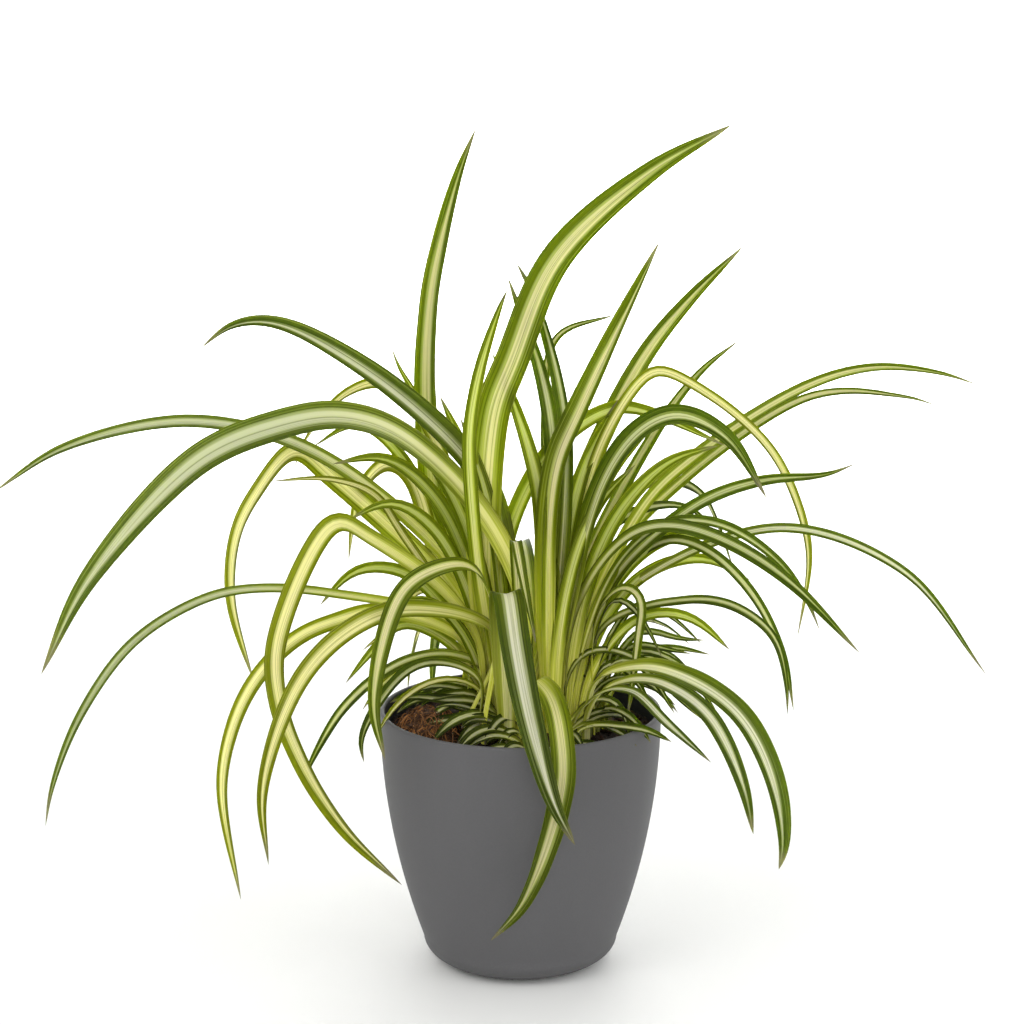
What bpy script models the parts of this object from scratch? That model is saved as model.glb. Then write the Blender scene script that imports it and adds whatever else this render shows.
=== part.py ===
"""Potted spider plant: smooth round pot, soil, coir, crowns and arching leaves.

Metres, +Z up, the pot stands on Z = 0 and is centred on the Z axis.
The front of the plant looks toward -Y.
"""
import math

import bpy
import numpy as np
from mathutils import Vector

for old in list(bpy.data.objects):
    bpy.data.objects.remove(old, do_unlink=True)

MM = 0.001

# Pot
POT_HEIGHT = 149 * MM
POT_RIM_RADIUS = 80 * MM
POT_LOW_RADIUS = 55.7 * MM
POT_FOOT_RADIUS = 32 * MM
POT_CORNER_HEIGHT = 15 * MM
POT_WALL = 3 * MM
POT_TAPER = 2.0
POT_SIDES = 48

# Filling
SOIL_GAP = 0.5 * MM
SOIL_TOP = 136 * MM
CROWN_BOTTOM = 138 * MM
CROWN_TOP = 145.1 * MM

# Leaves
LEAF_START = 146 * MM
LEAF_STATIONS = 16
LEAF_THICK = 1.1 * MM
LEAF_GUTTER = math.radians(20)

# Every leaf: name, root (x, y), heading in degrees (0 is +X, 90 is +Y), width, the share
# of its length where it starts to taper, how far its upper side leans toward the front at
# even steps from root to tip, then the points it passes as (reach, height[, side]). In mm.
LEAVES = (
    ("tall_left", (-12, 17), 129, 16.5, 0.3, (65, 75),
     ((18, 35), (46, 77), (56, 99), (66, 157), (62, 228), (38, 297), (20, 329))),
    ("tall_arch", (2, 7), 28, 20.5, 0.35, (60, 70),
     ((-21, 38), (-21, 171), (-8, 203), (19, 257), (80, 303), (134, 327))),
    ("left_big", (-11, -16), 197, 19.5, 0.45, (50, 50, 45, 55, 62),
     ((-11, 41), (-9, 76), (12, 120), (58, 167), (91, 179), (125, 176), (169, 160), (230, 99), (258, 48))),
    ("left_far", (-24, 8), 159, 8.5, 0.6, (60, 65),
     ((-1, 47), (14, 81), (97, 141), (176, 155), (263, 133), (313, 102))),
    ("left_crest", (-21, 4), 169, 14.5, 0.3, (60, 65),
     ((-12, 55), (-10, 107), (2, 138), (47, 182), (105, 216), (128, 221), (146, 217), (163, 204))),
    ("narrow_up", (-17, -1), 72, 9.5, 0.4, (45, 45),
     ((-6, 45), (-25, 96), (-38, 166), (-23, 197), (14, 229), (32, 239))),
    ("bent_left", (-32, 16), 153, 13, 0.65, (55, 70),
     ((-4, 45), (12, 70), (88, 127), (109, 139), (139, 107), (152, 80), (155, 45), (142, -3))),
    ("hang_left", (-22, -15), 203, 12.5, 0.6, (45, 50),
     ((4, 48), (25, 79), (69, 113), (86, 122), (120, 60), (120, 26), (108, -10), (84, -52), (49, -91))),
    ("left_low_long", (-27, 0), 201, 6, 0.65, (50, 60),
     ((2, 40), (26, 62), (52, 70), (125, 84), (159, 80), (198, 59), (228, 20), (244, -18), (248, -38))),
    ("left_fall_a", (-32, -29), 220, 12, 0.3, (40, 50),
     ((-24, 48), (44, 75), (85, 67), (115, 44), (138, -8), (135, -51))),
    ("left_fall_b", (-32, -8), 201, 10.5, 0.3, (45, 50),
     ((-1, 42), (50, 66), (73, 63), (96, 56), (121, 35), (136, 6), (142, -27), (133, -92))),
    ("front_hang_left", (-22, -31), 222, 11.5, 0.5, (30, 40),
     ((-10, 61), (8, 94), (50, 92), (64, 77), (77, 29), (70, -4))),
    ("low_left_a", (-32, -13), 197, 7, 0.5, (45, 50),
     ((-12, 28), (11, 39), (38, 35), (68, 14), (89, -18), (94, -30))),
    ("low_left_b", (-24, -29), 209, 6.5, 0.5, (40, 50),
     ((-1, 28), (30, 42), (49, 36), (73, 4), (71, -10))),
    ("mid_left_a", (-28, 3), 176, 7, 0.4, (60, 65),
     ((6, 34), (39, 51), (55, 36), (72, 15))),
    ("back_left_a", (-25, 19), 153, 10, 0.6, (60, 65),
     ((8, 49), (24, 80), (43, 130), (56, 136), (74, 119), (84, 75))),
    ("back_left_b", (-18, 15), 148, 8.5, 0.4, (60, 65),
     ((13, 85), (33, 146), (53, 173), (74, 181), (102, 169), (127, 141), (136, 122))),
    ("back_left_c", (-1, 14), 148, 8.5, 0.4, (60, 65),
     ((40, 70), (81, 139), (109, 153), (143, 136))),
    ("thin_left", (-25, 10), 174, 5.5, 0.4, (60, 65),
     ((12, 52), (44, 104), (58, 124), (83, 132), (117, 130))),
    ("thin_up_left", (-7, 13), 141, 7, 0.4, (60, 65),
     ((24, 83), (50, 144), (70, 176), (80, 187), (87, 200))),
    ("back_left_drop", (-20, 26), 123, 9.5, 0.6, (60, 65),
     ((17, 33), (44, 43), (67, 32), (82, 3), (87, -15))),
    ("centre_arch", (3, 9), 8, 10.5, 0.4, (60, 65),
     ((-12, 59), (-9, 105), (15, 151), (48, 173), (65, 172), (114, 150))),
    ("upright_right", (17, -10), 344, 15.5, 0.3, (70, 70),
     ((-2, 104), (3, 148), (15, 177), (61, 274))),
    ("up_back_a", (10, 12), 142, 11, 0.35, (60, 65),
     ((-11, 65), (-10, 158), (-2, 194), (22, 247))),
    ("up_back_b", (18, 7), 118, 11, 0.35, (60, 65),
     ((-9, 67), (-15, 168), (9, 219), (27, 240), (44, 252))),
    ("up_left_inner", (3, 0), 163, 10.5, 0.4, (60, 65),
     ((-14, 56), (-11, 91), (-6, 136), (8, 181), (20, 207))),
    ("thin_back_right", (21, 22), 47, 5.5, 0.5, (60, 65),
     ((-8, 121), (-11, 167), (-4, 211), (50, 220))),
    ("right_up_a", (24, 16), 40, 13, 0.35, (60, 65),
     ((-7, 52), (8, 117), (57, 192), (95, 225), (139, 253))),
    ("folded_right", (27, 1), 15, 7, 0.7, (60, 65),
     ((-1, 66), (18, 152), (44, 192), (53, 195), (101, 165), (125, 137), (143, 87), (138, 35))),
    ("right_up_thin", (28, 10), 30, 8.5, 0.25, (60, 65),
     ((3, 64), (53, 151), (86, 187), (114, 204))),
    ("dark_broad", (21, -10), 344, 16, 0.35, (60, 55, 50),
     ((3, 46), (27, 140), (49, 170), (69, 178), (95, 167), (118, 134))),
    ("right_long_a", (37, 5), 23, 7.5, 0.35, (60, 65),
     ((-7, 31), (35, 116), (68, 143), (138, 178), (181, 186), (225, 180), (255, 170))),
    ("right_long_b", (34, 9), 39, 6.5, 0.3, (60, 65),
     ((-2, 41), (17, 79), (52, 109), (175, 160), (259, 151), (291, 141))),
    ("right_mid", (29, -3), 345, 9, 0.35, (55, 65),
     ((9, 45), (29, 87), (73, 127), (106, 141), (144, 147), (159, 154))),
    ("right_fall_a", (25, -10), 330, 9, 0.45, (50, 55),
     ((6, 58), (25, 95), (47, 114), (72, 119), (108, 111), (141, 94), (180, 62))),
    ("right_fall_b", (27, -8), 335, 6.5, 0.5, (50, 55),
     ((19, 71), (37, 101), (61, 119), (93, 120), (125, 103), (142, 82), (149, 67))),
    ("right_long_low", (38, 7), 354, 6, 0.55, (60, 65),
     ((1, 43), (30, 77), (108, 109), (177, 86), (225, 27))),
    ("back_right_a", (26, 19), 38, 7, 0.5, (60, 65),
     ((7, 61), (25, 99), (43, 117), (70, 122), (101, 110), (129, 59))),
    ("back_right_b", (33, 15), 27, 7, 0.4, (60, 65),
     ((1, 63), (14, 98), (40, 111), (69, 110), (90, 95))),
    ("front_right", (11, -13), 291, 15, 0.5, (0, 0),
     ((28, 31, -15), (65, 31, -19), (81, 19, -21), (85, -11, -21), (70, -80, -37), (56, -106, -51))),
    ("low_right_a", (44, -8), 322, 6, 0.5, (50, 55),
     ((1, 50), (69, 79), (98, 77), (118, 65), (126, 41), (127, 24))),
    ("thin_right_drop", (44, 2), 335, 6.5, 0.5, (50, 55),
     ((1, 55), (19, 88), (43, 105), (66, 101), (91, 81), (111, 47), (118, 15))),
    ("bent_small", (42, -14), 318, 5.5, 0.6, (45, 45),
     ((-2, 41), (3, 65), (21, 81), (33, 77), (31, 52), (24, 7))),
    ("low_right_b", (48, -2), 355, 6, 0.4, (60, 65),
     ((-17, 32), (0, 37), (24, 31), (36, 18))),
    ("low_right_c", (50, 8), 14, 5, 0.4, (60, 65),
     ((-11, 23), (7, 31), (37, 34), (61, 28))),
    ("front_right_big", (39, -22), 317, 13.5, 0.6, (20, 35),
     ((5, 25), (37, 40), (65, 41), (101, 31), (120, 15), (135, -14), (139, -41), (136, -54))),
    ("front_right_mid", (37, -26), 307, 10, 0.6, (20, 35),
     ((12, 21), (42, 36), (72, 39), (107, 29), (134, -3), (142, -26))),
    ("front_right_small", (30, -23), 302, 6.5, 0.4, (20, 35),
     ((26, 24), (60, 33), (89, 24), (132, 12))),
    ("front_big", (-7, -32), 286, 18, 0.4, (0, 0),
     ((6, 50, -3), (36, 88, -11), (61, 60, -13), (72, 22, -8), (78, -20, 3), (79, -44, 15))),
    ("front_short", (-1, -22), 278, 7, 0.5, (0, 0),
     ((3, 62, 0), (29, 113, -6), (44, 106, -6), (58, 62, 1))),
    ("back_mid", (7, 17), 95, 11, 0.4, (0, 0),
     ((10, 40), (36, 70), (80, 78), (120, 50), (142, 8))),
    ("back_far_right", (14, 20), 72, 10, 0.4, (0, 0),
     ((12, 40), (44, 74), (92, 80), (132, 50), (150, 8))),
    ("back_low_left", (-16, 23), 110, 9, 0.4, (0, 0),
     ((14, 34), (46, 56), (80, 44), (104, 6), (110, -30))),
)

PLASTIC = (0.105, 0.107, 0.108)
SOIL = (0.035, 0.024, 0.016)
COIR = (0.16, 0.075, 0.035)
CROWN = (0.36, 0.40, 0.16)
GREEN = (0.17, 0.29, 0.045)


def material(name, colour, rough):
    mat = bpy.data.materials.new(name)
    mat.use_nodes = True
    shader = mat.node_tree.nodes["Principled BSDF"]
    shader.inputs["Base Color"].default_value = (*colour, 1)
    shader.inputs["Roughness"].default_value = rough
    return mat


def add_body(name, verts, faces, mat, smooth=True):
    mesh = bpy.data.meshes.new(name)
    mesh.from_pydata([tuple(v) for v in verts], [], faces)
    mesh.polygons.foreach_set("use_smooth", [smooth] * len(mesh.polygons))
    mesh.update()
    body = bpy.data.objects.new(name, mesh)
    bpy.context.scene.collection.objects.link(body)
    body.data.materials.append(mat)
    return body


def revolve(profile, sides, bump=None):
    """Close a profile that starts and ends on the axis into one turned body."""
    verts = [(0, 0, profile[0][1])]
    for radius, z in profile[1:-1]:
        for j in range(sides):
            turn = 2 * math.pi * j / sides
            x, y = radius * math.cos(turn), radius * math.sin(turn)
            verts.append((x, y, z + (bump(x, y, z) if bump else 0)))
    last = len(verts)
    z = profile[-1][1]
    verts.append((0, 0, z + (bump(0, 0, z) if bump else 0)))
    faces = []
    rings = len(profile) - 2
    for j in range(sides):
        k = (j + 1) % sides
        faces.append((0, 1 + k, 1 + j))
        for i in range(rings - 1):
            a, b = 1 + i * sides, 1 + (i + 1) * sides
            faces.append((a + j, a + k, b + k, b + j))
        top = 1 + (rings - 1) * sides
        faces.append((top + j, top + k, last))
    return verts, faces


def outer_radius(z):
    """Outside radius of the pot at height z."""
    if z >= POT_CORNER_HEIGHT:
        k = (POT_HEIGHT - z) / (POT_HEIGHT - POT_CORNER_HEIGHT)
        return POT_RIM_RADIUS - (POT_RIM_RADIUS - POT_LOW_RADIUS) * k ** POT_TAPER
    k = 1 - z / POT_CORNER_HEIGHT
    return POT_FOOT_RADIUS + (POT_LOW_RADIUS - POT_FOOT_RADIUS) * math.sqrt(1 - k * k)


def inner_profile(gap, top):
    """Inside of the wall moved inward by gap, from the axis up to height top."""
    floor = POT_WALL + gap
    side = POT_WALL + gap
    points = [(0, floor), (POT_FOOT_RADIUS * 0.6, floor), (POT_FOOT_RADIUS, floor)]
    for z in (3, 6, 10, 16):
        z = floor + z * MM
        points.append((outer_radius(z - floor + 2 * MM) - side, z))
    steps = 6
    low = points[-1][1]
    for i in range(1, steps + 1):
        z = low + (top - low) * i / steps
        points.append((outer_radius(z) - side, z))
    return points


def make_pot():
    outside = [(0, 0), (POT_FOOT_RADIUS, 0)]
    for i in range(1, 7):
        turn = math.pi / 2 * i / 6
        radius = POT_FOOT_RADIUS + (POT_LOW_RADIUS - POT_FOOT_RADIUS) * math.sin(turn)
        outside.append((radius, POT_CORNER_HEIGHT * (1 - math.cos(turn))))
    steps = 9
    lip = POT_WALL / 2
    for i in range(1, steps + 1):
        z = POT_CORNER_HEIGHT + (POT_HEIGHT - lip - POT_CORNER_HEIGHT) * i / steps
        outside.append((outer_radius(z), z))
    centre = outer_radius(POT_HEIGHT - lip) - lip
    for i in range(1, 5):
        turn = math.pi * i / 5
        outside.append((centre + lip * math.cos(turn), POT_HEIGHT - lip + lip * math.sin(turn)))
    inside = inner_profile(0, POT_HEIGHT - lip)
    profile = outside + inside[::-1]
    verts, faces = revolve(profile, POT_SIDES)
    return add_body("pot", verts, faces, material("pot", PLASTIC, 0.45))


def make_soil():
    side = inner_profile(SOIL_GAP, SOIL_TOP)
    verts, faces = revolve(side + [(0, SOIL_TOP)], 36)
    return add_body("soil", verts, faces, material("soil", SOIL, 0.95))


def mound(name, centre, half, bottom, top, mat, lumps=0.0, power=4.0):
    """A closed low mound on an oval footprint."""
    sides = 28
    rings = ((0.55, 0), (0.94, 0), (1.0, 0.12), (1.0, 0.5), (0.93, 0.8), (0.75, 0.95), (0.45, 1), (0.2, 1))
    verts = [(centre[0], centre[1], bottom)]
    for size, rise in rings:
        for j in range(sides):
            turn = 2 * math.pi * j / sides
            wave = 1 - lumps * (0.5 + 0.5 * math.sin(5 * turn + 9 * rise))
            dip = lumps * (0.5 + 0.5 * math.cos(4 * turn)) if rise > 0.6 else 0
            z = bottom + (top - bottom) * rise * (1 - dip)
            x = centre[0] + half[0] * size * wave * math.cos(turn)
            y = centre[1] + half[1] * size * wave * math.sin(turn)
            verts.append((x, y, z))
    last = len(verts)
    verts.append((centre[0], centre[1], top))
    faces = []
    for j in range(sides):
        k = (j + 1) % sides
        faces.append((0, 1 + k, 1 + j))
        for i in range(len(rings) - 1):
            a, b = 1 + i * sides, 1 + (i + 1) * sides
            faces.append((a + j, a + k, b + k, b + j))
        a = 1 + (len(rings) - 1) * sides
        faces.append((a + j, a + k, last))
    return add_body(name, verts, faces, mat)


def curve_through(points, count):
    """Even samples of a smooth curve that passes through all the points."""
    pts = [np.array(p, dtype=float) for p in points]
    pts = [2 * pts[0] - pts[1]] + pts + [2 * pts[-1] - pts[-2]]
    dense = []
    for a, b, c, d in zip(pts, pts[1:], pts[2:], pts[3:]):
        t0 = 0.0
        t1 = t0 + math.sqrt(np.linalg.norm(b - a))
        t2 = t1 + math.sqrt(np.linalg.norm(c - b))
        t3 = t2 + math.sqrt(np.linalg.norm(d - c))
        for i in range(24):
            t = t1 + (t2 - t1) * i / 24
            ab = a * (t1 - t) / (t1 - t0) + b * (t - t0) / (t1 - t0)
            bc = b * (t2 - t) / (t2 - t1) + c * (t - t1) / (t2 - t1)
            cd = c * (t3 - t) / (t3 - t2) + d * (t - t2) / (t3 - t2)
            abc = ab * (t2 - t) / (t2 - t0) + bc * (t - t0) / (t2 - t0)
            bcd = bc * (t3 - t) / (t3 - t1) + cd * (t - t1) / (t3 - t1)
            dense.append(abc * (t2 - t) / (t2 - t1) + bcd * (t - t1) / (t2 - t1))
    dense.append(pts[-2])
    dense = np.array(dense)
    steps = np.linalg.norm(np.diff(dense, axis=0), axis=1)
    length = np.concatenate([[0], np.cumsum(steps)])
    wanted = np.linspace(0, length[-1], count)
    return np.stack([np.interp(wanted, length, dense[:, k]) for k in range(dense.shape[1])], axis=1)


def leaf_width(s, taper):
    """Width share along a leaf: narrow root, then even, then a long point."""
    root = 0.42 + 0.58 * math.sin(min(s / 0.38, 1) * math.pi / 2) ** 1.4
    point = (1 - (max(s - taper, 0) / (1 - taper)) ** 3) ** 0.8
    return root * point


def leaf_shape(root, heading, width, taper, lean, points, stations=LEAF_STATIONS):
    """A leaf as a shallow gutter: an upper crease, a lower keel and two edges."""
    turn = math.radians(heading)
    out = np.array((math.cos(turn), math.sin(turn), 0))
    side = np.array((-math.sin(turn), math.cos(turn), 0))
    toward = 1 if side[1] > 0 else -1
    start = np.array((root[0] * MM, root[1] * MM, LEAF_START))
    spine = [start]
    for p in points:
        sway = p[2] if len(p) > 2 else 0
        spine.append(start + (out * p[0] + side * sway + np.array((0, 0, p[1]))) * MM)
    line = curve_through(spine, stations)
    along = np.gradient(line, axis=0)
    verts = []
    for i in range(stations - 1):
        s = i / (stations - 1)
        t = along[i] / np.linalg.norm(along[i])
        across = side - t * np.dot(side, t)
        across /= np.linalg.norm(across)
        up = np.cross(t, across)
        roll = toward * math.radians(np.interp(s, np.linspace(0, 1, len(lean)), lean))
        wide = across * math.cos(roll) + up * math.sin(roll)
        face = up * math.cos(roll) - across * math.sin(roll)
        half = width * MM / 2 * leaf_width(s, taper)
        rise = half * math.sin(LEAF_GUTTER)
        half *= math.cos(LEAF_GUTTER)
        thick = LEAF_THICK * (1 - 0.55 * s)
        verts.append(line[i] - wide * half + face * rise)
        verts.append(line[i])
        verts.append(line[i] + wide * half + face * rise)
        verts.append(line[i] - face * thick)
    verts.append(line[-1])
    tip = len(verts) - 1
    faces = [(0, 1, 3), (1, 2, 3)]
    for i in range(stations - 2):
        a, b = 4 * i, 4 * i + 4
        for j, k in ((0, 1), (1, 2), (2, 3), (3, 0)):
            faces.append((a + j, b + j, b + k))
            faces.append((a + j, b + k, a + k))
    a = 4 * (stations - 2)
    for j, k in ((0, 1), (1, 2), (2, 3), (3, 0)):
        faces.append((a + j, tip, a + k))
    return verts, faces


def make_leaves():
    for number, (name, *plan) in enumerate(LEAVES):
        verts, faces = leaf_shape(*plan)
        tint = 0.85 + 0.3 * ((number * 7) % 10) / 10
        mat = material("leaf_" + name, tuple(c * tint for c in GREEN), 0.45)
        add_body("leaf_" + name, verts, faces, mat, smooth=False)


def main():
    make_pot()
    make_soil()
    crown = material("crown", CROWN, 0.6)
    mound("crown_left", (-17 * MM, -2 * MM), (17.5 * MM, 30 * MM), CROWN_BOTTOM, CROWN_TOP, crown)
    mound("crown_right", (27 * MM, -1 * MM), (25 * MM, 25 * MM), CROWN_BOTTOM, CROWN_TOP,
          material("crown_right", CROWN, 0.6))
    mound("coir", (-52 * MM, -16 * MM), (17 * MM, 22 * MM), CROWN_BOTTOM, 155 * MM,
          material("coir", COIR, 0.95), lumps=0.25)
    make_leaves()


main()
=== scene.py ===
import math
import random

import bpy
import numpy as np
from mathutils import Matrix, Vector, noise


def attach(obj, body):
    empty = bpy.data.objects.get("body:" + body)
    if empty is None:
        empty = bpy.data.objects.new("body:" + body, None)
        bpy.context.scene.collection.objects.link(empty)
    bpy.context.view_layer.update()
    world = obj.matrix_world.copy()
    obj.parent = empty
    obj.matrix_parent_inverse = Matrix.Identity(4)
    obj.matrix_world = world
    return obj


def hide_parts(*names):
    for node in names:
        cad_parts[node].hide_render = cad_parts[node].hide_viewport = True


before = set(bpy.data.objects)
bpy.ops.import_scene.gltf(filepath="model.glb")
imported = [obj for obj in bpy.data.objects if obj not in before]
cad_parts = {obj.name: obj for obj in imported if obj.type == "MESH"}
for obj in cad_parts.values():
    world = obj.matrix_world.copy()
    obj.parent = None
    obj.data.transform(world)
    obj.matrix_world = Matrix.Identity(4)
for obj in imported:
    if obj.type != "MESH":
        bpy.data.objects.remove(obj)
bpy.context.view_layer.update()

mm = 0.001
up = np.array((0.0, 0.0, 1.0))
# a turned profile starts and ends this near the axis, so that no face has zero width
axis = 0.0001

# short words for the shader's own names
finishNames = {"rough": "Roughness", "shine": "Specular IOR Level", "glow": "Subsurface Weight",
               "glowColour": "Subsurface Radius", "glowDepth": "Subsurface Scale"}


def addNode(tree, kind, inputs=None, **settings):
    made = tree.nodes.new(kind)
    for key, value in settings.items():
        setattr(made, key, value)
    for key, value in (inputs or {}).items():
        if isinstance(value, bpy.types.NodeSocket):
            tree.links.new(value, made.inputs[key])
        else:
            made.inputs[key].default_value = value
    return made


def calc(tree, operation, a, b=0.0, clamp=False):
    inputs = {0: a} if operation in ("ABSOLUTE", "SINE") else {0: a, 1: b}
    return addNode(tree, "ShaderNodeMath", inputs, operation=operation, use_clamp=clamp).outputs[0]


def times(tree, a, b):
    return calc(tree, "MULTIPLY", a, b)


def plus(tree, a, b):
    return calc(tree, "ADD", a, b)


def ease(tree, value, low, high):
    # 0 below low, 1 above high, smooth between; low may be above high to turn it round
    inputs = {"Value": value, "From Min": low, "From Max": high}
    made = addNode(tree, "ShaderNodeMapRange", inputs, interpolation_type="SMOOTHSTEP")
    return made.outputs["Result"]


def blendColour(tree, share, a, b, how="MIX"):
    made = addNode(tree, "ShaderNodeMix", data_type="RGBA", blend_type=how)
    for key, value in ((0, share), (6, a), (7, b)):
        if isinstance(value, bpy.types.NodeSocket):
            tree.links.new(value, made.inputs[key])
        elif key == 0:
            made.inputs[key].default_value = value
        else:
            made.inputs[key].default_value = (*value, 1)
    return made.outputs[2]


def shaded(tree, colour, tone):
    # the colour made darker or lighter by one value
    grey = addNode(tree, "ShaderNodeCombineXYZ", {0: tone, 1: tone, 2: tone}).outputs[0]
    return blendColour(tree, 1.0, colour, grey, "MULTIPLY")


def objectPlace(tree):
    return addNode(tree, "ShaderNodeTexCoord").outputs["Object"]


def grain(tree, vector, scale, detail=3.0, rough=0.5):
    inputs = {"Vector": vector, "Scale": scale, "Detail": detail, "Roughness": rough}
    return addNode(tree, "ShaderNodeTexNoise", inputs).outputs["Fac"]


def attribute(tree, name):
    return addNode(tree, "ShaderNodeAttribute", attribute_name=name).outputs["Fac"]


def freshMaterial(name):
    made = bpy.data.materials.new(name)
    made.use_nodes = True
    return made, made.node_tree, made.node_tree.nodes["Principled BSDF"]


def setFinish(shader, **values):
    for key, value in values.items():
        shader.inputs[finishNames[key]].default_value = value


def bump(tree, shader, height, distance, strength=1.0):
    made = addNode(tree, "ShaderNodeBump", {"Height": height, "Distance": distance, "Strength": strength})
    tree.links.new(made.outputs["Normal"], shader.inputs["Normal"])


def addPiece(name, verts, faces, material, nodeNames=(), uv=None, values=None):
    mesh = bpy.data.meshes.new(name)
    mesh.from_pydata([tuple(v) for v in verts], [], faces)
    mesh.polygons.foreach_set("use_smooth", [True] * len(mesh.polygons))
    for key, numbers in (values or {}).items():
        layer = mesh.attributes.new(key, "FLOAT", "POINT")
        layer.data.foreach_set("value", np.asarray(numbers, dtype=np.float32))
    if uv is not None:
        layer = mesh.uv_layers.new(name="OFBake")
        layer.data.foreach_set("uv", np.asarray(uv, dtype=np.float32).ravel())
    mesh.materials.append(material)
    piece = bpy.data.objects.new(name, mesh)
    bpy.context.scene.collection.objects.link(piece)
    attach(piece, "root")
    if nodeNames:
        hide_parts(*nodeNames)


def turned(profile, sides, lift=None):
    # a profile of (radius, z) from axis to axis, turned about Z
    angles = 2 * np.pi * np.arange(sides) / sides
    verts = []
    for radius, z in profile:
        for angle in angles:
            x, y = radius * math.cos(angle), radius * math.sin(angle)
            verts.append((x, y, z + (lift(x, y, z) if lift else 0)))
    faces, uv = [], []
    rows = len(profile)
    for i in range(rows - 1):
        for j in range(sides):
            k = (j + 1) % sides
            faces.append((i * sides + j, i * sides + k, (i + 1) * sides + k, (i + 1) * sides + j))
            for a, b in ((j, i), (j + 1, i), (j + 1, i + 1), (j, i + 1)):
                uv.append((0.005 + 0.99 * a / sides, 0.005 + 0.99 * b / (rows - 1)))
    return verts, faces, uv


def curveThrough(points, count):
    # even samples of a smooth curve through all the points
    pts = [np.array(p, dtype=float) for p in points]
    pts = [2 * pts[0] - pts[1]] + pts + [2 * pts[-1] - pts[-2]]
    dense = []
    for a, b, c, d in zip(pts, pts[1:], pts[2:], pts[3:]):
        t1 = math.sqrt(np.linalg.norm(b - a))
        t2 = t1 + math.sqrt(np.linalg.norm(c - b))
        t3 = t2 + math.sqrt(np.linalg.norm(d - c))
        t = t1 + (t2 - t1) * np.arange(40)[:, None] / 40
        ab = a * (t1 - t) / t1 + b * t / t1
        bc = b * (t2 - t) / (t2 - t1) + c * (t - t1) / (t2 - t1)
        cd = c * (t3 - t) / (t3 - t2) + d * (t - t2) / (t3 - t2)
        abc = ab * (t2 - t) / t2 + bc * t / t2
        bcd = bc * (t3 - t) / (t3 - t1) + cd * (t - t1) / (t3 - t1)
        dense.append(abc * (t2 - t) / (t2 - t1) + bcd * (t - t1) / (t2 - t1))
    dense = np.concatenate(dense + [pts[-2][None]])
    steps = np.linalg.norm(np.diff(dense, axis=0), axis=1)
    length = np.concatenate([[0], np.cumsum(steps)])
    wanted = np.linspace(0, length[-1], count)
    return np.stack([np.interp(wanted, length, dense[:, k]) for k in range(3)], axis=1)


pot = {
    "height": 149 * mm, "rimRadius": 80 * mm, "lowRadius": 55.7 * mm, "footRadius": 32 * mm,
    "cornerHeight": 15 * mm, "wall": 3 * mm, "taper": 2.0, "sides": 160,
    "colour": (0.098, 0.097, 0.101), "inside": (0.030, 0.031, 0.036), "dustAndLipHighlight": (0.19, 0.185, 0.175),
    "insideShadeWithin": (77.9 * mm, 77.1 * mm), "insideShadeAbove": (117 * mm, 121 * mm), "roughness": 0.56, "shine": 0.24,
    "insideFoot": ((0.9, 12 * mm), (0.7, 6 * mm), (0.5, 3.5 * mm)), "insideStart": 8 * mm,
}


def potRadius(z):
    if z >= pot["cornerHeight"]:
        k = (pot["height"] - z) / (pot["height"] - pot["cornerHeight"])
        return pot["rimRadius"] - (pot["rimRadius"] - pot["lowRadius"]) * k ** pot["taper"]
    k = 1 - z / pot["cornerHeight"]
    return pot["footRadius"] + (pot["lowRadius"] - pot["footRadius"]) * math.sqrt(1 - k * k)


def potSkin():
    made, tree, shader = freshMaterial("potPlastic")
    place = objectPlace(tree)
    split = addNode(tree, "ShaderNodeSeparateXYZ", {0: place})
    height = split.outputs["Z"]
    cloud = grain(tree, place, 14, 4, 0.55)
    speck = grain(tree, place, 900, 2, 0.6)
    fine = grain(tree, place, 2600, 1, 0.5)
    stretched = addNode(tree, "ShaderNodeMapping", {"Vector": place, "Scale": (60, 60, 4)}).outputs[0]
    streak = grain(tree, stretched, 1, 3, 0.6)
    tone = plus(tree, times(tree, cloud, 0.10), times(tree, streak, 0.06))
    tone = plus(tree, tone, times(tree, speck, 0.10))
    tone = plus(tree, tone, 0.87)
    flat = addNode(tree, "ShaderNodeCombineXYZ", {0: split.outputs["X"], 1: split.outputs["Y"]}).outputs[0]
    reach = addNode(tree, "ShaderNodeVectorMath", {0: flat}, operation="LENGTH").outputs["Value"]
    # painted shade darkens the inner wall above the soil, as if in shadow
    inner = times(tree, ease(tree, reach, *pot["insideShadeWithin"]), ease(tree, height, *pot["insideShadeAbove"]))
    shellWithShade = blendColour(tree, inner, pot["colour"], pot["inside"])
    dark = shaded(tree, shellWithShade, tone)
    # a little dust and a painted highlight on the lip, and scuffs round the foot
    low = ease(tree, height, 20 * mm, 2 * mm)
    lip = ease(tree, height, pot["height"] - 1.6 * mm, pot["height"])
    wornAndLipHighlight = times(tree, plus(tree, low, lip), ease(tree, speck, 0.45, 0.75))
    colour = blendColour(tree, times(tree, wornAndLipHighlight, 0.28), dark, pot["dustAndLipHighlight"])
    tree.links.new(colour, shader.inputs["Base Color"])
    rough = plus(tree, times(tree, cloud, 0.10), pot["roughness"] - 0.05)
    tree.links.new(plus(tree, rough, times(tree, wornAndLipHighlight, 0.2)), shader.inputs["Roughness"])
    setFinish(shader, shine=pot["shine"])
    relief = plus(tree, times(tree, fine, 0.5), speck)
    bump(tree, shader, relief, 0.00005, 0.7)
    return made


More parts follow.
